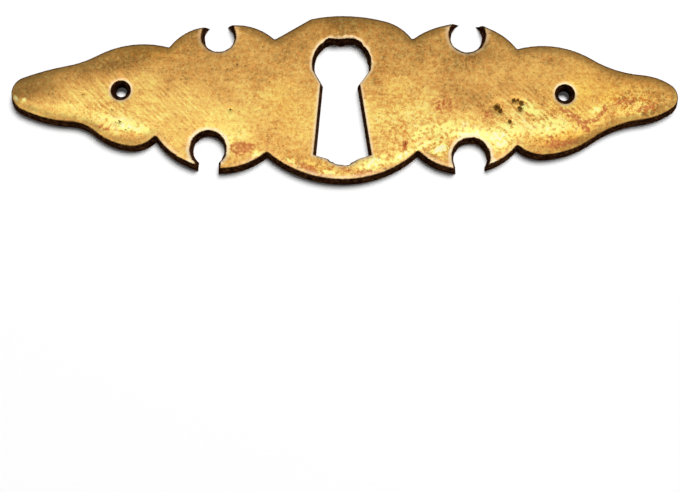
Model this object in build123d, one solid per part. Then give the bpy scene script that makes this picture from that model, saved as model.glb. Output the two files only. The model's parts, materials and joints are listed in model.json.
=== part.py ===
"""Cast brass keyhole escutcheon: one drafted plate with two wings, four hooked notches and a keyhole.

Millimetres. The back lies on z = 0, +Z points out of the face, +X runs along the plate and +Y
towards the round head of the keyhole. The origin is midway between the fixing holes.
"""
import os
from dataclasses import dataclass
from math import atan2, cos, degrees, radians, sin, sqrt

from build123d import *

# Plate
THICKNESS = 2.5
DRAFT = 9.0  # degrees that every wall leans, so that the back is the larger face
EDGE_ROUND = 0.5  # worn round on the front edge of the outline
RIM_ROUND = 0.25  # crisper round on the front edge of the keyhole and the fixing holes
ROUND_STEPS = 3  # bevels that make up a round

# Fixing holes
HOLE_SPACING = 67.2
HOLE_DIAMETER = 3.0

# Noses of the wings, in the outline of the back
LEFT_REACH = 50.5
LEFT_NOSE_Y = -0.5
RIGHT_REACH = 51.1
RIGHT_NOSE_Y = -0.3

# Boss round the keyhole, in the outline of the back
BOSS_TOP = 12.45
BOSS_BOTTOM = 13.87
BOSS_TOP_LEFT = (-5.1, 11.85)  # filed corner
BOSS_TOP_RIGHT = (6.4, 11.65)
BOSS_BOTTOM_LEFT = (-7.9, -12.05)
BOSS_BOTTOM_RIGHT = (7.3, -12.25)

# Keyhole, in the front face: filed by hand, so its head, neck and foot aren't quite in line
HEAD_X = -0.2
HEAD_Y = 4.4
HEAD_RADIUS = 4.75
HEAD_FLAT_Y = 8.7  # top of the head, filed flat
FLANK_DROP = 1.0  # how far below its middle the head's round runs into straight flanks
NECK_X = -0.4
NECK_Y = 1.3
NECK_WIDTH = 6.5
FOOT_X = 0.05
FOOT_Y = -9.9
FOOT_WIDTH = 9.3
DIP_WIDTH = 5.0
DIP_EDGE_Y = -10.55
DIP_Y = -11.6


@dataclass
class Quarter:
    """Outline of one quarter of the back, filed by hand and so unlike its neighbours."""

    wing_joints: list  # ends of the wing's arcs: share of the wing's length, step out from its nose
    outer_cusp: tuple  # corner between the wing and the outer hook
    outer_hook: tuple  # point on the back of the outer hook
    inner_hook: tuple  # point on the back of the inner hook
    inner_cusp: tuple  # corner between the inner hook and the boss
    notch_centre: tuple
    notch_radius: float
    crown: float  # how far beyond the notch centre the lines of the hooks meet
    mouth: float = 0  # width of the cut that opens the notch where its round alone doesn't


UPPER_LEFT = Quarter(
    wing_joints=[(0.077, 2.7), (0.356, 4.65), (0.544, 6.3)],
    outer_cusp=(-26.6, 7.25),
    outer_hook=(-24.4, 9.3),
    inner_hook=(-14.0, 10.55),
    inner_cusp=(-10.4, 8.65),
    notch_centre=(-19.0, 8.85),
    notch_radius=2.25,
    crown=1.6,
)
UPPER_RIGHT = Quarter(
    wing_joints=[(0.049, 2.25), (0.233, 3.8), (0.533, 6.15)],
    outer_cusp=(26.6, 7.45),
    outer_hook=(24.3, 9.6),
    inner_hook=(13.9, 10.65),
    inner_cusp=(10.6, 8.9),
    notch_centre=(18.9, 9.25),
    notch_radius=2.4,
    crown=2.1,
)
LOWER_LEFT = Quarter(
    wing_joints=[(0.083, 2.95), (0.419, 4.8), (0.581, 6.2), (0.823, 8.5)],
    outer_cusp=(-28.2, -7.5),
    outer_hook=(-25.0, -10.5),
    inner_hook=(-14.4, -11.6),
    inner_cusp=(-11.35, -9.8),
    notch_centre=(-20.2, -8.9),
    notch_radius=2.35,
    crown=3.3,
    mouth=3.0,
)
LOWER_RIGHT = Quarter(
    wing_joints=[(0.045, 2.1), (0.241, 3.95), (0.536, 6.85), (0.828, 9.5)],
    outer_cusp=(26.4, -8.45),
    outer_hook=(23.7, -10.7),
    inner_hook=(14.0, -11.25),
    inner_cusp=(11.4, -9.45),
    notch_centre=(19.35, -9.8),
    notch_radius=2.5,
    crown=2.1,
    mouth=4.4,
)
QUARTERS = [LOWER_LEFT, UPPER_LEFT, UPPER_RIGHT, LOWER_RIGHT]


def tangent_arcs(points, tangent):
    """Arcs through the points, each tangent to the one before it."""
    arcs = []
    for start, end in zip(points, points[1:]):
        arc = TangentArc(start, end, tangent=tangent)
        tangent = arc.tangent_at(1)
        arcs.append(arc)
    return arcs


def sides(quarter):
    """Signs of the quarter's X and Y."""
    x, y = quarter.notch_centre
    return (1 if x > 0 else -1), (1 if y > 0 else -1)


def quarter_edges(quarter):
    """Outline from the nose along the wing and over both hooks to the boss."""
    along, across = sides(quarter)
    nose_x, nose_y = (RIGHT_REACH, RIGHT_NOSE_Y) if along > 0 else (-LEFT_REACH, LEFT_NOSE_Y)
    length = quarter.outer_cusp[0] - nose_x
    joints = [(nose_x + share * length, nose_y + across * step) for share, step in quarter.wing_joints]
    wing = tangent_arcs([(nose_x, nose_y), *joints, quarter.outer_cusp], (0, across))
    notch_x, notch_y = quarter.notch_centre
    crown = (notch_x, notch_y + across * quarter.crown)
    outer = ThreePointArc(quarter.outer_cusp, quarter.outer_hook, crown)
    inner = ThreePointArc(crown, quarter.inner_hook, quarter.inner_cusp)
    return [*wing, outer, inner]


def boss_edges():
    """Outline of the boss between the inner cusps, above and below the keyhole."""
    top, bottom = (0, BOSS_TOP), (0, -BOSS_BOTTOM)
    return [
        Line(UPPER_LEFT.inner_cusp, BOSS_TOP_LEFT),
        *tangent_arcs([top, BOSS_TOP_LEFT], (-1, 0)),
        *tangent_arcs([top, BOSS_TOP_RIGHT, UPPER_RIGHT.inner_cusp], (1, 0)),
        *tangent_arcs([bottom, BOSS_BOTTOM_LEFT, LOWER_LEFT.inner_cusp], (-1, 0)),
        *tangent_arcs([bottom, BOSS_BOTTOM_RIGHT, LOWER_RIGHT.inner_cusp], (1, 0)),
    ]


def notch_face(quarter):
    """Round notch between two hooks, with the cut that opens it."""
    across = sides(quarter)[1]
    notch = Circle(quarter.notch_radius)
    if quarter.mouth:
        depth = quarter.crown + quarter.notch_radius
        notch += Pos(0, across * depth / 2) * Rectangle(quarter.mouth, depth)
    return Pos(*quarter.notch_centre) * notch


def back_face():
    """Outline that the plate has on the cabinet."""
    edges = [edge for quarter in QUARTERS for edge in quarter_edges(quarter)]
    outline = make_face(edges + boss_edges())
    for quarter in QUARTERS:
        outline -= notch_face(quarter)
    return outline.face()


def keyhole_face():
    """Round head with a filed top, over flanks that meet a neck and a skirt with a dished foot."""
    flank_y = HEAD_Y - FLANK_DROP
    half_flank = sqrt(HEAD_RADIUS**2 - FLANK_DROP**2)
    head = Pos(HEAD_X, HEAD_Y) * Circle(HEAD_RADIUS)
    size = 2 * HEAD_RADIUS
    above = Pos(HEAD_X, HEAD_FLAT_Y + HEAD_RADIUS) * Rectangle(size, size)
    below = Pos(HEAD_X, flank_y - HEAD_RADIUS) * Rectangle(size, size)
    stations = [
        (HEAD_X, half_flank, flank_y),
        (NECK_X, NECK_WIDTH / 2, NECK_Y),
        (FOOT_X, FOOT_WIDTH / 2, FOOT_Y),
        (FOOT_X, DIP_WIDTH / 2, DIP_EDGE_Y),
    ]
    left = [(x - half, y) for x, half, y in stations]
    right = [(x + half, y) for x, half, y in reversed(stations)]
    dip = ThreePointArc(left[-1], (FOOT_X, DIP_Y), right[0])
    skirt = make_face([Polyline(left), dip, Polyline(right), Line(right[-1], left[0])])
    return (head - above - below + skirt).face()


def round_bevels(radius):
    """Rise and slope of the bevels that turn a wall over into the face."""
    turns = [radians(90 * step / ROUND_STEPS) for step in range(ROUND_STEPS + 1)]
    bevels = []
    for low, high in zip(turns, turns[1:]):
        rise = radius * (sin(high) - sin(low))
        inset = radius * (cos(low) - cos(high))
        bevels.append((rise, degrees(atan2(inset, rise))))
    return bevels


def stack(face, layers):
    """Solid that rises from the face in layers, each leaning in by its own slope."""
    solid = Part()
    for rise, slope in layers:
        layer = extrude(face, rise, dir=(0, 0, 1), taper=slope)
        face = layer.faces().sort_by(Axis.Z)[-1]
        solid += layer
    return solid


def plate():
    """Plate without its openings: a drafted wall, then the round to the front face."""
    wall = (THICKNESS - EDGE_ROUND, DRAFT)
    return stack(back_face(), [wall, *round_bevels(EDGE_ROUND)])


def keyhole():
    """Keyhole as a solid, which closes in from the front to the back."""
    wall = (THICKNESS - RIM_ROUND, DRAFT)
    from_front = stack(keyhole_face(), [*reversed(round_bevels(RIM_ROUND)), wall])
    return Pos(0, 0, THICKNESS) * mirror(from_front, about=Plane.XY)


def fixing_holes():
    """Straight holes for the pins or screws, with a round at the front."""
    radius = HOLE_DIAMETER / 2
    shank = Cylinder(radius, THICKNESS, align=(Align.CENTER, Align.CENTER, Align.MIN))
    flare = Circle(radius + RIM_ROUND).face()
    from_front = stack(flare, [*reversed(round_bevels(RIM_ROUND))])
    hole = shank + Pos(0, 0, THICKNESS) * mirror(from_front, about=Plane.XY)
    return [Pos(x, 0) * hole for x in (-HOLE_SPACING / 2, HOLE_SPACING / 2)]


escutcheon = plate() - keyhole() - fixing_holes()
os.makedirs("parts", exist_ok=True)
export_step(escutcheon.solid(), "parts/escutcheon.step")
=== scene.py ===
"""Worn cast-brass keyhole escutcheon, lying face up on a pale table.

The plate's mesh is worked out from the CAD solid: its walls and rounds are kept, and its two faces are
filled again with fine triangles, which are then filed, worn and pitted. Lengths are in millimetres until
the mesh is handed to Blender, which takes metres. North is +Y, the side of the keyhole's round head.
"""
import json
from math import cos, pi, radians, tan
from typing import NamedTuple

import bmesh
import bpy
import numpy as np
from mathutils import Matrix, Vector, noise
from mathutils.geometry import delaunay_2d_cdt
from mathutils.kdtree import KDTree


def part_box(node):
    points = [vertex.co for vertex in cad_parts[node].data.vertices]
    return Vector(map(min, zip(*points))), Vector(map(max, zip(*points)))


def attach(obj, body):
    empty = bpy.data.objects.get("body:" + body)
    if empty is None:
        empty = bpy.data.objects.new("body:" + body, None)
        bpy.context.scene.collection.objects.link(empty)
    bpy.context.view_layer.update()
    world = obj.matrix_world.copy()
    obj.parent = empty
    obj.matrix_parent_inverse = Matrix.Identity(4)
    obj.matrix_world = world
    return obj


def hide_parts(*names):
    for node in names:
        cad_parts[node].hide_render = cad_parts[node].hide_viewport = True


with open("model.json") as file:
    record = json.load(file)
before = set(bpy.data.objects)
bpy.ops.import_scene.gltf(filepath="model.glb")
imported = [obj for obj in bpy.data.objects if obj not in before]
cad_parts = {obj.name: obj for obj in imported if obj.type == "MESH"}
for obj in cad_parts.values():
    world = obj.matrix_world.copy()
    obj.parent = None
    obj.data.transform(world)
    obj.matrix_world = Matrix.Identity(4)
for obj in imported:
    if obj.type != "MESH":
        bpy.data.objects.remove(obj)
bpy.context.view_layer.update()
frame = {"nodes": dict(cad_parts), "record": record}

# Plate, from the frame
MM = 0.001
NODE = "escutcheon"
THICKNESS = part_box(NODE)[1].z / MM
FIXING = next(mount["dims"] for mount in frame["record"]["mounts"] if mount["name"] == "fixing_holes")
HOLES = [(side * FIXING["spacing_x_mm"] / 2, 0.0) for side in (-1, 1)]
HOLE_REACH = FIXING["hole_r_mm"] + 0.5  # takes in a hole's wall and the round at its front

# Mesh
FACE_STEP = 0.22
BACK_STEP = 0.9
WALL_STEP = 0.35
ROW_SPACING = 0.866  # of a step, so that the triangles are even
RIM_MARGIN = 0.55  # of a step, which the grid of a face keeps from its rims
LEVEL_TOLERANCE = 0.001
LOOP_SAMPLE = 0.1
SLIVER_AREA = 1e-5
DELAUNAY_TOLERANCE = 1e-6
SHARP_ANGLE = radians(50)

# Wear of the face: how deep it is at the edges and how far from them it reaches
PILLOW_DROP, PILLOW_REACH = 0.13, 4.0
SHOULDER_DROP, SHOULDER_REACH = 0.07, 0.6
RIM_DROP, RIM_REACH = 0.05, 0.3
WEAR_FADE = 1.0  # depth on the walls at which it has ended

# Unevenness: how deep it is, how long its bumps are and the seed of its noise
WAVE_DEPTH, WAVE_LENGTH, WAVE_SEED = 0.06, 6.0, 3.1
RIPPLE_DEPTH, RIPPLE_LENGTH, RIPPLE_SEED = 0.014, 1.2, 7.7
DENT_DEPTH, DENT_LENGTH, DENT_SEED = 0.03, 0.8, 11.3
DENT_TOP = (0.4, 0.9)  # depths between which the dents in the walls begin
DENT_FOOT = (0, 0.4)  # heights between which they end at the back

# Dirt that narrows the fixing holes, and painted shade on their walls and on edges that face north
CRUST = 0.68  # how far it narrows the fixing holes
CRUST_TOP = (0.3, 1.0)  # depths between which it begins
CRUST_FOOT = (0, 0.6)  # heights between which it ends at the back
HOLE_SHADE_TOP = (0.2, 0.5)  # depths between which painted shade turns the walls black
NORTH_EDGE_SHADE = 0.22  # painted shade: how much higher the dark of the walls creeps on edges that face north
NORTH_EDGE_SHADE_FADE = (0.4, 0.8)  # depths between which that ends


class Notch(NamedTuple):
    """Round notch between two hooks."""

    x: float
    y: float
    radius: float
    shine: float  # how bright its rim is, worn pale and with a painted highlight
    stray: float  # how far its rough edge strays


NOTCHES = [
    Notch(-19.0, 8.85, 2.25, shine=0.3, stray=0.18),
    Notch(18.9, 9.25, 2.4, shine=0.5, stray=0.20),
    Notch(-20.2, -8.9, 2.35, shine=1.0, stray=0.18),
    Notch(19.35, -9.8, 2.5, shine=1.0, stray=0.18),
]
NOTCH_MARGIN = 1.1  # how much wider a notch is at the front, and a little more
NOTCH_ROUGH = 3.4  # half size of the rough patch round a notch

# Pits: place, radius and depth
DARK_PIT = 0.18  # depth from which a pit is darkest
PITS = [
    (-39.2, -0.65, 0.28, 0.10),
    (-34.85, -3.1, 0.26, 0.09),
    (-33.6, -4.9, 0.30, 0.12),
    (-32.6, -6.1, 0.24, 0.08),
    (-17.6, 3.4, 0.26, 0.08),
    (-16.1, 4.2, 0.28, 0.10),
    (-14.8, 4.0, 0.26, 0.08),
    (-11.1, 1.5, 0.24, 0.07),
    (-8.0, 0.6, 0.24, 0.07),
    (-17.0, -2.9, 0.32, 0.12),
    (-12.5, -2.8, 0.24, 0.07),
    (9.52, -7.8, 0.18, 0.16),
    (23.3, -2.2, 0.62, 0.26),
    (23.75, -2.75, 0.46, 0.24),
    (25.8, -1.1, 0.40, 0.20),
    (26.4, -1.05, 0.34, 0.14),
    (27.0, -1.5, 0.46, 0.24),
    (26.8, -2.35, 0.48, 0.24),
    (25.2, -4.4, 0.34, 0.18),
    (31.6, 5.5, 0.26, 0.08),
]

# How bright the face is from its lower to its upper edge: partly rubbed wear, partly painted shade that
# darkens it towards the upper edge
TONE_HEIGHTS = [-12, -8, -4, 0, 4, 9.5]
WORN_AND_SHADED_TONES = [0.60, 0.68, 0.78, 0.67, 0.50, 0.37]
TONE_STRAY, TONE_STRAY_LENGTH, TONE_STRAY_SEED = 3.0, 5.0, 5.3

# Patches that are brighter or duller, partly rubbed wear and partly painted highlights and painted shade:
# place, half sizes, turn in degrees and amount
WEAR_AND_PAINTED_LIGHT_PATCHES = [
    (-46.5, 0.5, 4.5, 2.4, 15, -0.42),
    (-36.0, 3.6, 6.0, 1.6, 12, -0.34),
    (-9.0, -3.0, 3.0, 5.0, 0, -0.05),
    (-29.5, 6.4, 3.0, 1.0, 0, -0.12),
    (-48.6, -1.0, 2.0, 1.2, 0, -0.28),
    (-48.6, -1.9, 0.8, 0.4, 0, 0.45),
    (0.0, 10.8, 7.0, 1.4, 0, -0.12),
    (-17.3, -8.6, 0.6, 1.3, 0, 0.22),
    (-15.4, -7.2, 2.0, 0.5, 5, 0.18),
    (-12.9, -9.6, 1.0, 0.5, 30, 0.18),
    (36.0, 0.5, 4.0, 2.0, 0, 0.06),
    (-36.5, -4.2, 4.0, 1.0, -17, 0.06),
    (-31.8, -5.4, 2.4, 1.0, -14, 0.26),
    (-34.6, -4.8, 2.4, 0.9, -15, 0.22),
    (-24.5, -8.2, 2.0, 1.5, -40, 0.14),
    (-16.0, -6.4, 2.5, 0.8, 0, 0.14),
    (-15.2, -9.0, 2.6, 1.7, 0, 0.10),
    (-4.5, -11.7, 2.0, 0.7, -25, 0.14),
    (4.0, -11.2, 2.2, 0.8, 25, 0.18),
    (12.1, -7.9, 2.6, 0.5, 20, 0.24),
    (9.2, -9.6, 2.0, 0.35, 32, 0.30),
    (13.6, -6.6, 1.8, 0.4, 25, 0.20),
    (7.0, -11.0, 2.0, 0.35, 25, 0.30),
    (10.6, -9.9, 1.8, 0.4, 30, -0.25),
    (2.0, -12.3, 1.6, 0.4, 5, -0.25),
    (-7.2, -9.9, 1.4, 0.5, -35, -0.20),
    (19.5, -5.8, 3.8, 1.5, 0, 0.26),
    (23.2, -7.2, 1.8, 1.8, -30, 0.36),
    (28.3, -2.1, 2.0, 0.9, -10, 0.22),
    (31.7, -5.4, 2.6, 1.0, 8, 0.34),
    (34.5, -7.3, 4.0, 1.0, 15, -0.38),
    (20.5, 5.8, 3.0, 1.6, 0, -0.10),
    (38.4, -6.2, 3.0, 0.8, 27, -0.30),
    (44.5, -3.7, 3.0, 0.7, 20, -0.22),
    (-33.0, -7.7, 3.0, 0.6, -6, -0.26),
    (-40.5, -5.0, 4.0, 0.5, -12, -0.18),
    (38.6, -2.3, 1.4, 0.7, 20, 0.22),
    (16.5, -0.5, 5.0, 2.5, 0, -0.08),
    (19.6, -0.6, 3.0, 1.9, -10, -0.20),
    (12.5, -3.5, 2.5, 1.5, 0, 0.06),
    (33.0, 3.6, 6.0, 1.8, 0, 0.17),
    (16.0, 3.8, 5.0, 1.5, 0, 0.08),
    (8.5, 0.0, 2.5, 3.0, 0, 0.06),
    (40.0, 0.0, 5.0, 2.0, 0, 0.06),
    (46.5, 1.0, 4.0, 2.0, -20, -0.16),
    (47.5, -1.5, 2.4, 1.5, 0, -0.38),
]

# Painted highlights, the brightest places, in the same form
PAINTED_HIGHLIGHTS = [
    (-33.6, -5.4, 1.5, 0.7, -15, 1.2),
    (-30.9, -5.9, 2.0, 0.8, -12, 1.4),
    (-36.5, -4.0, 1.8, 0.5, -17, 0.8),
    (-12.9, -9.7, 0.9, 0.4, 25, 1.4),
    (-17.0, -7.6, 0.5, 0.9, -20, 1.1),
    (4.8, -11.0, 1.9, 0.8, 25, 2.1),
    (9.0, -9.8, 1.6, 0.5, 32, 1.8),
    (12.6, -8.1, 2.2, 0.5, 20, 1.4),
    (11.6, -6.3, 1.8, 0.6, 40, 1.0),
    (15.2, -5.4, 2.4, 0.9, 20, 1.0),
    (14.7, -8.8, 1.3, 0.7, 25, 2.2),
    (19.3, -6.3, 3.0, 0.8, 0, 1.9),
    (23.6, -7.2, 1.5, 1.4, -30, 2.2),
    (25.5, -5.6, 1.6, 0.7, -20, 1.3),
    (28.2, -2.2, 2.0, 0.9, -30, 1.1),
    (31.2, -5.2, 3.0, 1.2, 8, 1.3),
    (-49.4, -1.4, 0.4, 0.3, -40, 2.2),
    (-48.2, -1.7, 0.4, 0.25, 0, 1.6),
    (-2.0, -12.5, 1.6, 0.35, -5, 1.2),
    (-7.4, -10.9, 1.2, 0.35, -32, 1.2),
    (38.4, -2.4, 1.2, 0.5, 20, 1.2),
]

# Copper-red stains, in the same form
STAINS = [
    (-15.6, -9.0, 1.3, 0.9, 0, 2.0),
    (-14.2, -8.7, 0.9, 0.7, 20, 1.8),
    (15.0, 1.5, 6.0, 4.0, 0, 0.36),
    (-36.2, -5.8, 1.6, 0.5, -20, 0.8),
    (-32.5, -7.2, 2.6, 0.4, -8, 0.5),
    (-11.3, -8.0, 1.0, 0.5, 0, 0.6),
    (9.42, -8.3, 0.24, 0.55, -10, 10.0),
    (15.2, -2.2, 2.3, 1.3, 0, 0.55),
    (22.0, -3.6, 1.2, 1.2, 0, 0.8),
    (33.8, -2.9, 1.3, 0.45, -30, 1.7),
    (35.7, -4.2, 1.3, 0.40, -40, 2.0),
    (37.3, -4.2, 1.2, 0.35, 20, 1.6),
    (39.2, -2.8, 1.3, 0.35, 55, 1.7),
    (36.8, -5.6, 1.1, 0.5, -40, 1.2),
    (42.5, -1.2, 2.2, 0.45, 12, 1.2),
    (46.0, -2.0, 1.6, 0.5, 20, 1.2),
    (31.5, -7.3, 0.8, 1.1, 0, 1.4),
    (33.8, -7.7, 2.4, 0.5, 10, 1.3),
    (3.5, -12.5, 2.4, 0.5, 8, 1.2),
    (-5.0, -11.9, 2.0, 0.6, -22, 1.2),
    (0.5, -12.0, 1.0, 0.4, 0, 1.0),
]

# Deep amber places, in the same form
AMBER = [
    (-29.5, 6.0, 5.0, 1.2, 0, 1.0),
    (-9.0, -3.0, 3.0, 5.0, 0, 0.5),
    (8.0, -1.0, 3.0, 5.0, 0, 0.3),
    (0.0, 10.5, 8.0, 1.5, 0, 0.4),
    (-4.0, -11.8, 5.0, 1.0, -20, 0.7),
    (40.0, 0.0, 9.0, 4.0, 0, 1.0),
    (33.0, -6.9, 5.0, 1.6, 10, 1.2),
]

# Places where the file's slanting marks show, in the same form
FILED = [
    (-35.0, -0.5, 8.0, 4.0, 0, 1.0),
    (-24.0, -3.0, 6.0, 5.0, 0, 0.7),
    (29.0, -1.5, 9.0, 5.0, 0, 0.8),
]

# Places where the mottling is strongest, in the same form
LIVELY = [
    (-35.0, -4.5, 6.0, 2.0, -15, 0.9),
    (8.0, -4.0, 4.0, 6.0, 0, 0.5),
    (0.0, -12.0, 9.0, 1.6, 0, 1.0),
    (14.0, -7.5, 6.0, 3.5, 0, 0.9),
    (30.0, -5.0, 9.0, 3.5, 0, 1.3),
    (45.0, -1.5, 4.0, 2.0, 0, 2.0),
]

# Olive tarnish: on one nose, in the same form, and along the outline
OLIVE = [
    (-46.0, 0.5, 4.0, 2.5, 15, 0.35),
]
OLIVE_UPPER = 0.6  # amount on the upper edges
OLIVE_LOWER, OLIVE_WINGS = 0.2, 0.5  # amount on the lower edges, and what the wings add to it
OLIVE_REACH = (0.1, 1.1)  # distances from the outline between which it ends
UPPER_EDGES = (2, 6)  # heights between which the upper edges begin
WINGS = (24, 34)  # distances from the middle between which the wings begin

# Edges that are worn pale and carry a painted highlight: the openings, and stretches of the outline in the
# same form
OPENING_RIM = 0.85
RIM_WIDTH = 0.11
WORN_AND_HIGHLIGHT_EDGES = [
    (-1.0, -13.0, 8.0, 3.0, 0, 0.6),
    (-26.0, -9.0, 2.5, 2.0, -40, 0.5),
    (-13.0, -11.0, 2.5, 1.6, 0, 0.5),
    (13.0, -10.8, 3.0, 1.6, 0, 0.6),
    (25.0, -9.6, 2.0, 1.6, 30, 0.5),
]

# Edges that were left rough, in the same form, with how far they stray
ROUGH = [
    (-0.2, 8.6, 4.8, 1.3, 0, 0.48),
    (4.3, 5.0, 1.2, 3.0, 0, 0.25),
    (0.0, -10.7, 4.5, 1.0, 0, 0.25),
    *[(notch.x, notch.y, NOTCH_ROUGH, NOTCH_ROUGH, 0, notch.stray) for notch in NOTCHES],
]
ROUGH_LENGTH = 1.1
ROUGH_SEEDS = (17.3, 23.9)  # for X and Y
ROUGH_FINE = 0.5  # share that noise of half the length adds

# Textures of the brass
FILE_TURN = 45  # degrees
FILE_LINE_SHARE = 0.22  # of even lines in the file marks
FILE_MIDDLE = 0.61  # value of the file marks that changes nothing
FLECK_SHIFT = (50, 20, 0)  # keeps the flecks apart from the other noise
TAN_SPECKLE = 1.2  # of the speckle in the tan flecks
PIT_RAGGED = 1.3  # how far a pit's edge strays
WALL_RAGGED = 0.3  # how far the upper edge of the walls' dark colour, oxide and painted shade, strays

# How much each texture lightens and darkens the face
FILE_SHADE = 0.7
CLOUD_SHADE = 0.7
MOTTLE_SHADE = 0.5
GRAIN_SHADE = 0.6
SPECKLE_SHADE = 0.85
BRUSH_SHADE = 0.25

# Colours of the brass as a screen shows them, from 0 to 255, with their places in a range
FACE_COLOURS = [
    (0.0, (112, 84, 42)),
    (0.16, (160, 119, 60)),
    (0.32, (204, 152, 80)),
    (0.48, (233, 178, 95)),
    (0.64, (248, 206, 112)),
    (0.75, (253, 232, 120)),
    (0.95, (255, 246, 172)),
]
TONE_SCALE = 0.8  # from a tone to its place among them
# Colours of the painted highlights
PAINTED_HIGHLIGHT_COLOURS = [(0.5, (254, 247, 142)), (0.9, (253, 247, 200))]
PAINTED_HIGHLIGHT_SCALE = 0.5  # from a painted highlight to its place among them
COPPER_COLOURS = [(0.4, (222, 150, 90)), (0.62, (184, 92, 48))]
PIT_COLOURS = [(0.3, (166, 116, 46)), (0.55, (106, 72, 20)), (0.9, (64, 38, 10))]
# Walls: dark oxide, and painted shade
WALL_COLOURS = [(0.35, (34, 14, 8)), (0.52, (62, 34, 18)), (0.68, (98, 64, 38))]
BACK_COLOURS = [(0.3, (84, 60, 32)), (0.5, (128, 96, 52)), (0.75, (158, 122, 68))]
ORANGE_COLOUR = (206, 120, 50)
PALE_COLOUR = (253, 232, 140)
TAN_COLOUR = (226, 148, 70)
DEEP_RED = (166, 62, 20)
OLIVE_COLOUR = (138, 108, 56)
# Worn pale rims with a painted highlight
RIM_AND_HIGHLIGHT_COLOUR = (252, 226, 180)
SPECK_COLOUR = (132, 88, 42)
# Painted shade in the fixing holes
HOLE_SHADE_COLOUR = (16, 8, 5)
AMBER_FACTORS = (1.03, 0.94, 0.7, 1)  # on red, green, blue and alpha

# What each layer covers: values between which it grows, and its share at either end
ORANGE_COVER = (0.5, 0.66), (0, 0.36)
PALE_COVER = (0.5, 0.34), (0, 0.22)
TAN_COVER = (0.5, 0.75), (0, 0.3)
PAINTED_HIGHLIGHT_COVER = (0.25, 0.75), (0, 0.92)
STAIN_COVER = (0.2, 0.8), (0, 0.85)
DEEP_RED_COVER = (2.5, 5.0), (0, 1)
PIT_COVER = (0.25, 0.55), (0, 0.95)
PIT_EDGE_COVER = (0.02, 0.3), (0, 1)
WALL_COVER = (0.06, 0.26), (0, 1)  # by depth
BACK_COVER = (THICKNESS - 0.1, THICKNESS - 0.02), (0, 1)  # by depth
ORANGE_LIMIT, PALE_LIMIT = 0.75, 0.6  # most that they cover where the mottling is strong
HOLE_SHADE_LIMIT = 0.8

# How a texture breaks up each layer: values of the texture, and what the layer is multiplied by there
AMBER_BREAKS = (0.25, 0.6), (0.4, 1.0)
PAINTED_HIGHLIGHT_BREAKS = (0.38, 0.62), (1.3, 0.35)
STAIN_BREAKS = (0.35, 0.62), (0.15, 1.2)
OLIVE_BREAKS = (0.3, 0.65), (0.4, 0.95)
RIM_BREAKS = (0.3, 0.6), (0.5, 1.0)

# Dark specks
SPECK_SCALE = 0.9  # places for a speck per millimetre
SPECK_CHANCE = (0.7, 1.0)  # chances between which a speck grows
SPECK_RADIUS = (0.001, 0.15)  # of the smallest and the largest, as a share of their spacing
SPECK_CORE = 0.4  # share of its radius within which a speck is darkest
SPECK_LIMIT = 0.6  # most that it covers

# Surface of the brass
TEXTURE_BY_TONE = (0.2, 0.6), (0.5, 1.0)  # tones, and how much texture shows there
ROUGHNESS_BY_TONE = (0.2, 0.9), (0.48, 0.32)
CRUST_ROUGHNESS = 0.7
BUMP_STRENGTH, BUMP_DEPTH = 0.4, 0.03
FILE_BUMP, BRUSH_BUMP = 1.2, 0.4  # beside the speckle's bump of 1

# Light
SKY_LIGHT = 0.05
SKY_MIRRORED_SOUTH, SKY_MIRRORED_NORTH = 1.28, 0.55
SKY_TURN = (0.0, 0.65)  # northward parts of a direction between which the mirrored sky darkens
KEY_DISTANCE = 2.0  # metres
KEY_LEAN = radians(25)
KEY_TURN = radians(-22)  # from north towards the east
KEY_SPREAD = radians(12)  # half of the angle that the lamp fills
KEY_LEVEL = 1.0  # light that it throws on the table, where 1 makes white paper white
TABLE_COLOUR = 0.98
TABLE_GLOW = 0.04
TABLE_SIZE = 4  # metres
TABLE_GAP = 0.02  # below the plate

# Camera, from the view of the photograph
IMAGE_WIDTH = 680  # pixels
FOCAL_PIXELS = 1600  # focal length in the same pixels
SENSOR_WIDTH = 36.0
CAMERA_PLACE = Vector((-0.22, -66.18, 236.22))
CAMERA_TILT = radians(10.3)
CAMERA_ROLL = radians(0.5)
CAMERA_CLIP = 0.01  # metres


def cad_shell():
    """Walls and rounds of the CAD solid in millimetres, with long edges cut short and both faces open."""
    bm = bmesh.new()
    bm.from_mesh(frame["nodes"][NODE].data)
    bmesh.ops.scale(bm, vec=Vector((1 / MM,) * 3), verts=bm.verts)
    bmesh.ops.remove_doubles(bm, verts=bm.verts, dist=LEVEL_TOLERANCE)
    for level in (0, THICKNESS):
        flat = [f for f in bm.faces if all(abs(v.co.z - level) < LEVEL_TOLERANCE for v in f.verts)]
        bmesh.ops.delete(bm, geom=flat, context="FACES")
    level_edges = [e for e in bm.edges if abs(e.verts[0].co.z - e.verts[1].co.z) < LEVEL_TOLERANCE]
    cuts = {}
    for edge in level_edges:
        cuts.setdefault(int(edge.calc_length() / WALL_STEP), []).append(edge)
    for count, edges in cuts.items():
        if count:
            bmesh.ops.subdivide_edges(bm, edges=edges, cuts=count)
    for level in np.arange(WALL_STEP, THICKNESS - WEAR_FADE / 2, WALL_STEP):
        everything = [*bm.verts, *bm.edges, *bm.faces]
        bmesh.ops.bisect_plane(bm, geom=everything, plane_co=(0, 0, level), plane_no=(0, 0, 1))
    bmesh.ops.triangulate(bm, faces=bm.faces)
    return bm


def rim_loops(bm, level):
    """Closed loops of open edges at that height, each as a list of vertices, longest loop first."""
    follow = {}
    for edge in bm.edges:
        if edge.is_boundary and all(abs(v.co.z - level) < LEVEL_TOLERANCE for v in edge.verts):
            for v in edge.verts:
                follow.setdefault(v, []).append(edge.other_vert(v))
    loops = []
    while follow:
        v = next(iter(follow))
        loop = []
        while v in follow:
            loop.append(v)
            ahead = follow.pop(v)
            v = next((w for w in ahead if w in follow), None)
        loops.append(loop)
    return sorted(loops, key=len, reverse=True)


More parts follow.
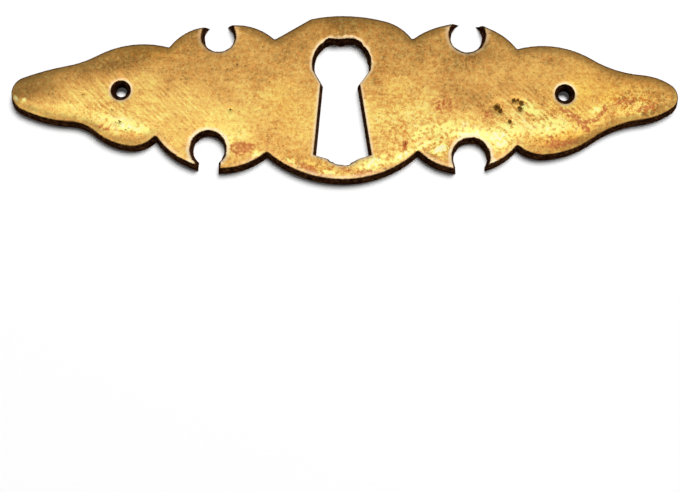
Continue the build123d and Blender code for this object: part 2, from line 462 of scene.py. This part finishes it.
def plan(loop):
    """The loop's points seen from above."""
    return np.array([v.co.xy for v in loop])


def inside(points, loops):
    """Which points lie within an odd number of the loops."""
    crossings = np.zeros(len(points), int)
    for loop in loops:
        starts = plan(loop)
        for (x0, y0), (x1, y1) in zip(starts, np.roll(starts, -1, axis=0)):
            spans = (points[:, 1] < y0) != (points[:, 1] < y1)
            if y0 != y1:
                crossings += spans & (points[:, 0] < x0 + (points[:, 1] - y0) * (x1 - x0) / (y1 - y0))
    return crossings % 2 == 1


def tree_of(loops):
    """Search tree of points sampled closely along the loops."""
    points = []
    for loop in loops:
        starts = plan(loop)
        for start, end in zip(starts, np.roll(starts, -1, axis=0)):
            count = max(1, int(np.ceil(np.linalg.norm(end - start) / LOOP_SAMPLE)))
            points += [start + (end - start) * k / count for k in range(count)]
    tree = KDTree(len(points))
    for index, (x, y) in enumerate(points):
        tree.insert((x, y, 0), index)
    tree.balance()
    return tree


def nearest(points, tree):
    """Nearest place on the tree's loops in plan, and its distance, for each point."""
    found = [tree.find((x, y, 0)) for x, y in points[:, :2]]
    return np.array([f[0].xy for f in found]), np.array([f[2] for f in found])


def grid_inside(loops, step):
    """Points of an even grid of triangles inside the loops, clear of their rims."""
    outline = plan(loops[0])
    low, high = outline.min(0), outline.max(0)
    rows = np.arange(low[1], high[1], step * ROW_SPACING)
    columns = np.arange(low[0], high[0], step)
    grid = np.array([(x + step / 2 * (k % 2), y) for k, y in enumerate(rows) for x in columns])
    grid = grid[inside(grid, loops)]
    _, from_rim = nearest(grid, tree_of(loops))
    return grid[from_rim > RIM_MARGIN * step]


def fill_face(bm, level, step):
    """Closes the opening at that height with triangles about one step wide, and returns its loops."""
    loops = rim_loops(bm, level)
    grid = grid_inside(loops, step)
    rim, edges = [], []
    for loop in loops:
        first, count = len(rim), len(loop)
        edges += [(first + k, first + (k + 1) % count) for k in range(count)]
        rim += loop
    points = [v.co.xy for v in rim] + [Vector(p) for p in grid]
    out, _, triangles, origins, _, _ = delaunay_2d_cdt(points, edges, [], 0, DELAUNAY_TOLERANCE)
    verts = []
    for origin, *_ in origins:
        on_rim = origin < len(rim)
        verts.append(rim[origin] if on_rim else bm.verts.new((*grid[origin - len(rim)], level)))
    corners = np.array([[out[k] for k in triangle] for triangle in triangles])
    sides = corners[:, 1:] - corners[:, :1]
    areas = np.abs(sides[:, 0, 0] * sides[:, 1, 1] - sides[:, 0, 1] * sides[:, 1, 0]) / 2
    kept = inside(corners.mean(1), loops) & (areas > SLIVER_AREA)
    for k in np.flatnonzero(kept):
        bm.faces.new([verts[corner] for corner in triangles[k]])
    return loops


class Surface:
    """Points of the plate before it is worn, and where each of them lies."""

    def __init__(self, mesh, outline_tree, opening_tree):
        self.points = np.array([v.co for v in mesh.vertices])
        self.normals = np.array([v.normal for v in mesh.vertices])
        self.depth = THICKNESS - self.points[:, 2]
        self.on_face = self.depth < LEVEL_TOLERANCE
        self.outline_place, from_outline = nearest(self.points, outline_tree)
        _, from_opening = nearest(self.points, opening_tree)
        at_opening = ~self.on_face & (from_opening < from_outline)
        self.to_outline = np.where(self.on_face | at_opening, from_outline, 0)
        self.to_opening = np.where(at_opening, 0, from_opening)

    def at_notch(self, notch):
        """Which points have that notch as the nearest stretch of the outline."""
        x, y = self.outline_place.T
        return np.hypot(x - notch.x, y - notch.y) < notch.radius + NOTCH_MARGIN


def blank_plate():
    """Mesh of the plate before it is worn, in millimetres, and its surface."""
    bm = cad_shell()
    fill_face(bm, 0, BACK_STEP)
    loops = fill_face(bm, THICKNESS, FACE_STEP)
    bmesh.ops.recalc_face_normals(bm, faces=bm.faces)
    outline_tree, opening_tree = tree_of(loops[:1]), tree_of(loops[1:])
    mesh = bpy.data.meshes.new("escutcheon_plate")
    bm.to_mesh(mesh)
    bm.free()
    return mesh, Surface(mesh, outline_tree, opening_tree)


def smooth(value, low, high):
    """0 below low, 1 above high and a smooth step between."""
    t = np.clip((value - low) / (high - low), 0, 1)
    return t * t * (3 - 2 * t)


def waves(points, length, seed):
    """Smooth noise from -1 to 1 whose bumps are about that long."""
    shift = Vector((seed, 2 * seed, 3 * seed))
    return np.array([noise.noise(Vector(p) / length + shift) for p in points])


def patches(points, rows):
    """Sum of soft round patches, each given as place, half sizes, turn in degrees and amount."""
    total = np.zeros(len(points))
    for x, y, half_x, half_y, turn, amount in rows:
        cos_turn, sin_turn = np.cos(radians(turn)), np.sin(radians(turn))
        dx, dy = points[:, 0] - x, points[:, 1] - y
        along = (dx * cos_turn + dy * sin_turn) / half_x
        across = (dy * cos_turn - dx * sin_turn) / half_y
        total += amount * np.exp(-(along ** 2 + across ** 2))
    return total


def hollow(points, x, y, radius):
    """Shape of a round pit: 1 at its middle, fading to 0."""
    return np.exp(-((points[:, 0] - x) ** 2 + (points[:, 1] - y) ** 2) / radius ** 2)


def face_sink(surface):
    """How far the face is worn down at each point."""
    points = surface.points
    sink = PILLOW_DROP * np.exp(-surface.to_outline / PILLOW_REACH)
    sink += SHOULDER_DROP * np.exp(-surface.to_outline / SHOULDER_REACH)
    sink += RIM_DROP * np.exp(-surface.to_opening / RIM_REACH)
    sink += (1 - waves(points, WAVE_LENGTH, WAVE_SEED)) * WAVE_DEPTH / 2
    sink += (1 - waves(points, RIPPLE_LENGTH, RIPPLE_SEED)) * RIPPLE_DEPTH / 2
    for x, y, radius, depth in PITS:
        sink += depth * hollow(points, x, y, radius)
    return sink


def wall_dents(surface):
    """How far the walls stand out at each point, which is never above 0."""
    points = surface.points
    dents = (waves(points, DENT_LENGTH, DENT_SEED) - 1) * DENT_DEPTH / 2
    return dents * (smooth(surface.depth, *DENT_TOP) * smooth(points[:, 2], *DENT_FOOT))


def worn_points(surface):
    """The surface's points with a worn face, dented walls, ragged edges and crusted fixing holes."""
    points = surface.points.copy()
    points[:, 2] -= face_sink(surface) * np.clip(1 - surface.depth / WEAR_FADE, 0, 1)
    points += surface.normals * wall_dents(surface)[:, None]
    stray = patches(points, ROUGH)
    for axis, seed in enumerate(ROUGH_SEEDS):
        coarse = waves(points, ROUGH_LENGTH, seed)
        fine = waves(points, ROUGH_LENGTH / 2, seed)
        points[:, axis] += stray * (coarse + ROUGH_FINE * fine)
    for hole in HOLES:
        outward = points[:, :2] - hole
        reach = np.linalg.norm(outward, axis=1)
        crust = CRUST * (reach < HOLE_REACH) * smooth(surface.depth, *CRUST_TOP)
        crust = crust * smooth(points[:, 2], *CRUST_FOOT)
        points[:, :2] -= outward / reach[:, None] * crust[:, None]
    return points


def wall_depth(surface):
    """Depth of each point, made larger on edges that face north, which paints shade on them."""
    north = np.clip(surface.normals[:, 1], 0, 1)
    return surface.depth + NORTH_EDGE_SHADE * ~surface.on_face * north * (1 - smooth(surface.depth, *NORTH_EDGE_SHADE_FADE))


def tone_with_painted_light(surface):
    """How bright the face is at each point: worn bright by rubbing, with painted shade towards the upper
    edge and painted highlights and shade in patches.
    """
    points = surface.points
    height = points[:, 1] + TONE_STRAY * waves(points, TONE_STRAY_LENGTH, TONE_STRAY_SEED)
    return np.interp(height, TONE_HEIGHTS, WORN_AND_SHADED_TONES) + patches(points, WEAR_AND_PAINTED_LIGHT_PATCHES)


def pale_rim_and_highlight(surface):
    """How pale the edges are at each point: worn, with a painted highlight."""
    edge = np.exp(-(surface.to_outline / RIM_WIDTH) ** 2)
    rim = OPENING_RIM * np.exp(-(surface.to_opening / RIM_WIDTH) ** 2)
    rim = np.maximum(rim, patches(surface.points, WORN_AND_HIGHLIGHT_EDGES) * edge)
    for notch in NOTCHES:
        rim = np.maximum(rim, surface.at_notch(notch) * notch.shine * edge)
    return rim


def olive_tarnish(surface):
    """How olive the face is at each point: along the outline outside the notches, and on one nose."""
    upper = smooth(surface.points[:, 1], *UPPER_EDGES)
    winged = smooth(np.abs(surface.points[:, 0]), *WINGS)
    olive = np.maximum(OLIVE_UPPER * upper, OLIVE_LOWER + OLIVE_WINGS * winged)
    for notch in NOTCHES:
        olive = np.where(surface.at_notch(notch), 0, olive)
    olive *= 1 - smooth(surface.to_outline, *OLIVE_REACH)
    return olive + patches(surface.points, OLIVE)


def pit_darkness(points):
    """How dark the pits are at each point."""
    dark = np.zeros(len(points))
    for x, y, radius, depth in PITS:
        dark = np.maximum(dark, hollow(points, x, y, radius) * min(1, depth / DARK_PIT))
    return dark


def painted_hole_shade(surface):
    """How black painted shade makes the walls of the fixing holes at each point."""
    hole_shade = np.zeros(len(surface.points))
    for hole in HOLES:
        near = np.linalg.norm(surface.points[:, :2] - hole, axis=1) < HOLE_REACH
        hole_shade += near * smooth(surface.depth, *HOLE_SHADE_TOP)
    return hole_shade


def plate():
    """The worn plate as a mesh object that stands for the CAD node, with what its material reads."""
    mesh, surface = blank_plate()
    fields = {
        "depth": wall_depth(surface),
        # worn brightness, with painted shade and painted highlights
        "tone": tone_with_painted_light(surface),
        "stain": patches(surface.points, STAINS),
        "painted_highlight": patches(surface.points, PAINTED_HIGHLIGHTS),
        "filed": patches(surface.points, FILED),
        # painted highlights
        "amber": patches(surface.points, AMBER),
        "lively": 1 + patches(surface.points, LIVELY),
        "rim": pale_rim_and_highlight(surface),
        "olive": olive_tarnish(surface),
        "pit": pit_darkness(surface.points),
        "hole_shade": painted_hole_shade(surface),
    }
    points = np.clip(worn_points(surface) * MM, *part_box(NODE))
    mesh.vertices.foreach_set("co", points.ravel())
    for name, values in fields.items():
        mesh.attributes.new(name, "FLOAT", "POINT").data.foreach_set("value", values.astype(np.float32))
    mesh.shade_smooth()
    mesh.set_sharp_from_angle(angle=SHARP_ANGLE)
    piece = bpy.data.objects.new("escutcheon_plate", mesh)
    bpy.context.collection.objects.link(piece)
    return piece


def srgb(colour):
    """Linear colour, with alpha, of a screen colour from 0 to 255."""
    parts = [value / 255 for value in colour]
    return (*[p / 12.92 if p <= 0.04045 else ((p + 0.055) / 1.055) ** 2.4 for p in parts], 1)


class Nodes:
    """Adds nodes to a material or a world and links them."""

    def __init__(self, owner):
        owner.use_nodes = True
        self.tree = owner.node_tree
        self.tree.nodes.clear()

    def add(self, kind, inputs=None, output=0, **settings):
        """Adds a node with its settings, feeds its inputs with sockets or values, and returns one output."""
        node = self.tree.nodes.new("ShaderNode" + kind)
        for name, value in settings.items():
            setattr(node, name, value)
        for key, value in (inputs or {}).items():
            if isinstance(value, bpy.types.NodeSocket):
                self.tree.links.new(value, node.inputs[key])
            else:
                node.inputs[key].default_value = value
        return node.outputs[output] if len(node.outputs) else None

    def field(self, name):
        """Value of that field of the mesh."""
        return self.add("Attribute", output="Fac", attribute_name=name)

    def math(self, operation, a, b, clamp=False):
        return self.add("Math", {0: a, 1: b}, operation=operation, use_clamp=clamp)

    def plus(self, a, b):
        return self.math("ADD", a, b)

    def times(self, a, b):
        return self.math("MULTIPLY", a, b)

    def swing(self, texture, amount):
        """How far the texture is from its middle, times the amount."""
        return self.times(self.math("SUBTRACT", texture, 0.5), amount)

    def step(self, value, span, ends):
        """Smooth step from the first end to the second while the value crosses the span."""
        limits = {"From Min": span[0], "From Max": span[1], "To Min": ends[0], "To Max": ends[1]}
        return self.add("MapRange", {"Value": value, **limits}, interpolation_type="SMOOTHSTEP")

    def mix(self, share, a, b):
        """Value a, or b where the share is 1."""
        return self.add("Mix", {0: share, 2: a, 3: b}, data_type="FLOAT")

    def paint(self, under, over, share):
        """The colour under, covered to that share by another, which is a socket or a screen colour."""
        colour = srgb(over) if isinstance(over, tuple) else over
        return self.add("Mix", {0: share, 6: under, 7: colour}, output=2, data_type="RGBA")

    def tint(self, under, factors, share):
        """The colour under, multiplied to that share by the factors."""
        inputs = {0: share, 6: under, 7: factors}
        return self.add("Mix", inputs, output=2, data_type="RGBA", blend_type="MULTIPLY")

    def ramp(self, value, stops):
        """Colour that follows the value through the stops, each a place and a screen colour."""
        node = self.tree.nodes.new("ShaderNodeValToRGB")
        elements = node.color_ramp.elements
        while len(elements) < len(stops):
            elements.new(0.5)
        for element, (place, colour) in zip(elements, stops):
            element.position = place
            element.color = srgb(colour)
        self.tree.links.new(value, node.inputs["Fac"])
        return node.outputs["Color"]

    def noise(self, vector, scale, detail):
        return self.add("TexNoise", {"Vector": vector, "Scale": scale, "Detail": detail})

    def turned(self, vector, turn):
        """The vector turned about the vertical, in degrees."""
        inputs = {"Vector": vector, "Angle": radians(turn)}
        return self.add("VectorRotate", inputs, rotation_type="Z_AXIS")

    def streaks(self, vector, turn, along, across):
        """Noise drawn out in one direction, in bumps per millimetre along and across it."""
        scales = (along, across, across)
        drawn = self.add("VectorMath", {0: self.turned(vector, turn), 1: scales}, operation="MULTIPLY")
        return self.noise(drawn, scale=1.0, detail=3.0)

    def hatching(self, vector, turn, spacing):
        """Wavering lines in one direction, that far apart."""
        inputs = {
            "Vector": self.turned(vector, turn),
            "Scale": pi / 10 / spacing,
            "Distortion": 3.0,
            "Detail": 3.0,
            "Detail Scale": 1.2,
        }
        return self.add("TexWave", inputs, output="Fac", bands_direction="Y")

    def specks(self, vector):
        """What sparse round specks cover, each of its own size."""
        node = self.tree.nodes.new("ShaderNodeTexVoronoi")
        node.voronoi_dimensions = "2D"
        node.inputs["Scale"].default_value = SPECK_SCALE
        self.tree.links.new(vector, node.inputs["Vector"])
        chance = self.add("SeparateColor", {0: node.outputs["Color"]})
        radius = self.step(chance, SPECK_CHANCE, SPECK_RADIUS)
        core = self.times(radius, SPECK_CORE)
        return self.step(node.outputs["Distance"], (core, radius), (SPECK_LIMIT, 0))

    def seen_or_mirrored(self):
        """1 on rays that come from the camera, from a mirror or through glass."""
        path = self.tree.nodes.new("ShaderNodeLightPath").outputs
        mirrored = self.math("MAXIMUM", path["Is Glossy Ray"], path["Is Transmission Ray"])
        return self.math("MAXIMUM", path["Is Camera Ray"], mirrored)


class Brass(Nodes):
    """Brass that is worn bright by rubbing on the face, with painted highlights and painted shade, stained
    and pitted, with walls darkened by oxide and painted shade, black with painted shade in the fixing holes.
    """

    def __init__(self):
        self.material = bpy.data.materials.new("worn_brass")
        super().__init__(self.material)
        self.patterns()
        tone = self.tone()
        face = self.edged(self.stained(self.face_with_painted_light(tone)))
        face = self.paint(face, SPECK_COLOUR, self.specks(self.place))
        pit = self.ragged_pits()
        pitted = self.step(pit, *PIT_COVER)
        face = self.paint(face, self.ramp(pit, PIT_COLOURS), pitted)
        depth = self.field("depth")
        wall = self.step(self.plus(depth, self.swing(self.speckle, WALL_RAGGED)), *WALL_COVER)
        behind = self.step(depth, *BACK_COVER)
        colour = self.paint(self.paint(face, self.wall_tarnish_and_shade(), wall), self.back(), behind)
        crusted = self.math("SUBTRACT", self.math("MAXIMUM", wall, pitted), behind, clamp=True)
        self.shade(colour, tone, crusted)

    def patterns(self):
        """Fields and noise that the layers share, in millimetres."""
        metres = self.add("TexCoord", output="Object")
        place = self.add("VectorMath", {0: metres, 1: (1 / MM,) * 3}, operation="MULTIPLY")
        aside = self.add("VectorMath", {0: place, 1: FLECK_SHIFT})
        filed = self.field("filed")
        self.place = place
        self.cloud = self.noise(place, scale=0.25, detail=4.0)
        self.mottle = self.noise(place, scale=0.9, detail=4.0)
        self.speckle = self.noise(place, scale=4.2, detail=2.0)
        self.brushing = self.streaks(place, turn=3, along=0.2, across=3.0)
        even_grain = self.noise(place, scale=2.0, detail=3.0)
        self.grain = self.mix(filed, even_grain, self.streaks(place, turn=42, along=0.9, across=2.6))
        even_flecks = self.noise(aside, scale=1.8, detail=4.0)
        self.flecks = self.mix(filed, even_flecks, self.streaks(aside, turn=38, along=0.9, across=2.0))
        scratches = self.streaks(place, turn=FILE_TURN, along=0.5, across=2.6)
        lines = self.times(self.hatching(place, turn=FILE_TURN, spacing=0.62), FILE_LINE_SHARE)
        filing = self.math("SUBTRACT", self.plus(scratches, lines), FILE_MIDDLE)
        self.filing = self.times(filing, filed)
        self.lively = self.field("lively")
        self.texture = self.step(self.field("tone"), *TEXTURE_BY_TONE)

    def tone(self):
        """How bright the face is, with its painted light and shade, and the lights and darks of its
        textures.
        """
        amounts = [
            (self.cloud, CLOUD_SHADE),
            (self.mottle, MOTTLE_SHADE),
            (self.grain, GRAIN_SHADE),
            (self.speckle, SPECKLE_SHADE),
            (self.brushing, BRUSH_SHADE),
        ]
        shades = self.times(self.filing, FILE_SHADE)
        for texture, amount in amounts:
            shades = self.plus(shades, self.swing(texture, amount))
        shades = self.times(self.times(shades, self.texture), self.lively)
        return self.plus(self.field("tone"), shades)

    def face_with_painted_light(self, tone):
        """Colour of the face from its tone, with its flecks, amber places and painted highlights."""
        face = self.ramp(self.times(tone, TONE_SCALE), FACE_COLOURS)
        orange = self.step(self.flecks, *ORANGE_COVER)
        orange = self.times(orange, self.times(self.lively, self.texture))
        face = self.paint(face, ORANGE_COLOUR, self.math("MINIMUM", orange, ORANGE_LIMIT))
        pale = self.times(self.step(self.flecks, *PALE_COVER), self.lively)
        face = self.paint(face, PALE_COLOUR, self.math("MINIMUM", pale, PALE_LIMIT))
        broken = self.plus(self.mottle, self.swing(self.speckle, TAN_SPECKLE))
        face = self.paint(face, TAN_COLOUR, self.times(self.step(broken, *TAN_COVER), self.texture))
        amber = self.times(self.field("amber"), self.step(self.cloud, *AMBER_BREAKS))
        face = self.tint(face, AMBER_FACTORS, amber)
        # Painted highlights: the brightest places turn near white
        painted_highlight = self.times(self.field("painted_highlight"), self.step(self.flecks, *PAINTED_HIGHLIGHT_BREAKS))
        shine = self.ramp(self.times(painted_highlight, PAINTED_HIGHLIGHT_SCALE), PAINTED_HIGHLIGHT_COLOURS)
        return self.paint(face, shine, self.step(painted_highlight, *PAINTED_HIGHLIGHT_COVER))

    def stained(self, face):
        """The face with copper-red stains, broken into islands."""
        islands = self.noise(self.place, scale=2.2, detail=4.0)
        stain = self.field("stain")
        copper = self.ramp(islands, COPPER_COLOURS)
        copper = self.paint(copper, DEEP_RED, self.step(stain, *DEEP_RED_COVER))
        reddish = self.times(stain, self.step(islands, *STAIN_BREAKS))
        return self.paint(face, copper, self.step(reddish, *STAIN_COVER))

    def edged(self, face):
        """The face with olive patina and pale worn rims that carry a painted highlight."""
        olive = self.times(self.field("olive"), self.step(self.mottle, *OLIVE_BREAKS))
        rim = self.times(self.field("rim"), self.step(self.mottle, *RIM_BREAKS))
        return self.paint(self.paint(face, OLIVE_COLOUR, olive), RIM_AND_HIGHLIGHT_COLOUR, rim)

    def ragged_pits(self):
        """How dark the pits are, with ragged edges."""
        pit = self.field("pit")
        ragged = self.swing(self.noise(self.place, scale=3.0, detail=3.0), PIT_RAGGED)
        return self.plus(pit, self.times(ragged, self.step(pit, *PIT_EDGE_COVER)))

    def wall_tarnish_and_shade(self):
        """Colour of the walls: dark oxide with painted shade, and black with painted shade in the fixing
        holes.
        """
        walls = self.ramp(self.noise(self.place, scale=1.7, detail=4.0), WALL_COLOURS)
        return self.paint(walls, HOLE_SHADE_COLOUR, self.times(self.field("hole_shade"), HOLE_SHADE_LIMIT))

    def back(self):
        """Colour of the back."""
        return self.ramp(self.noise(self.place, scale=0.8, detail=5.0), BACK_COLOURS)

    def shade(self, colour, tone, crusted):
        """Links the shader, which is metal where no crust covers it, with fine marks as bump."""
        roughness = self.step(tone, *ROUGHNESS_BY_TONE)
        brush_marks = self.plus(self.times(self.brushing, BRUSH_BUMP), self.speckle)
        marks = self.plus(self.times(self.filing, FILE_BUMP), brush_marks)
        bump = {"Height": marks, "Strength": BUMP_STRENGTH, "Distance": BUMP_DEPTH * MM}
        shader = self.add("BsdfPrincipled", {
            "Base Color": colour,
            "Metallic": self.math("SUBTRACT", 1.0, crusted),
            "Roughness": self.mix(crusted, roughness, CRUST_ROUGHNESS),
            "Specular IOR Level": 0.0,
            "Normal": self.add("Bump", bump),
        })
        self.add("OutputMaterial", {"Surface": shader})


def table():
    """Pale table top, which looks white where nothing shades it."""
    bpy.ops.mesh.primitive_plane_add(size=TABLE_SIZE, location=(0, 0, -TABLE_GAP * MM))
    floor = bpy.context.object
    floor.name = "table"
    material = bpy.data.materials.new("white_table")
    nodes = Nodes(material)
    diffuse = nodes.add("BsdfDiffuse", {"Color": (TABLE_COLOUR, TABLE_COLOUR, TABLE_COLOUR, 1)})
    glow = nodes.add("Emission", {"Strength": nodes.times(nodes.seen_or_mirrored(), TABLE_GLOW)})
    nodes.add("OutputMaterial", {"Surface": nodes.add("AddShader", {0: diffuse, 1: glow})})
    floor.data.materials.append(material)


def sky():
    """Even light from all sides, which metal mirrors as paler to the south."""
    world = bpy.data.worlds.new("studio")
    bpy.context.scene.world = world
    nodes = Nodes(world)
    direction = nodes.add("TexCoord", output="Generated")
    north = nodes.add("SeparateXYZ", {0: direction}, output=1)
    mirrored = nodes.step(north, SKY_TURN, (SKY_MIRRORED_SOUTH, SKY_MIRRORED_NORTH))
    strength = nodes.mix(nodes.seen_or_mirrored(), SKY_LIGHT, mirrored)
    background = nodes.add("Background", {"Color": (1, 1, 1, 1), "Strength": strength})
    nodes.add("OutputWorld", {"Surface": background})


def key_light():
    """A soft lamp that leans north."""
    lamp = bpy.data.lights.new("key", "AREA")
    lamp.shape = "DISK"
    lamp.size = 2 * KEY_DISTANCE * tan(KEY_SPREAD)
    lamp.energy = KEY_LEVEL * (pi * KEY_DISTANCE) ** 2 / cos(KEY_LEAN)
    key = bpy.data.objects.new("key", lamp)
    key.visible_glossy = False
    bpy.context.collection.objects.link(key)
    turn = Matrix.Rotation(KEY_TURN, 4, "Z") @ Matrix.Rotation(-KEY_LEAN, 4, "X")
    key.matrix_world = turn @ Matrix.Translation((0, 0, KEY_DISTANCE))


def camera():
    """The photograph's camera."""
    data = bpy.data.cameras.new("camera")
    data.sensor_width = SENSOR_WIDTH
    data.lens = FOCAL_PIXELS / IMAGE_WIDTH * SENSOR_WIDTH
    data.clip_start = CAMERA_CLIP
    view = bpy.data.objects.new("camera", data)
    bpy.context.collection.objects.link(view)
    turn = Matrix.Rotation(CAMERA_TILT, 4, "X") @ Matrix.Rotation(CAMERA_ROLL, 4, "Z")
    view.matrix_world = Matrix.Translation(CAMERA_PLACE * MM) @ turn
    bpy.context.scene.camera = view


piece = plate()
piece.data.materials.append(Brass().material)
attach(piece, "root")
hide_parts(NODE)
table()
sky()
key_light()
camera()
bpy.context.scene.view_settings.view_transform = "Standard"
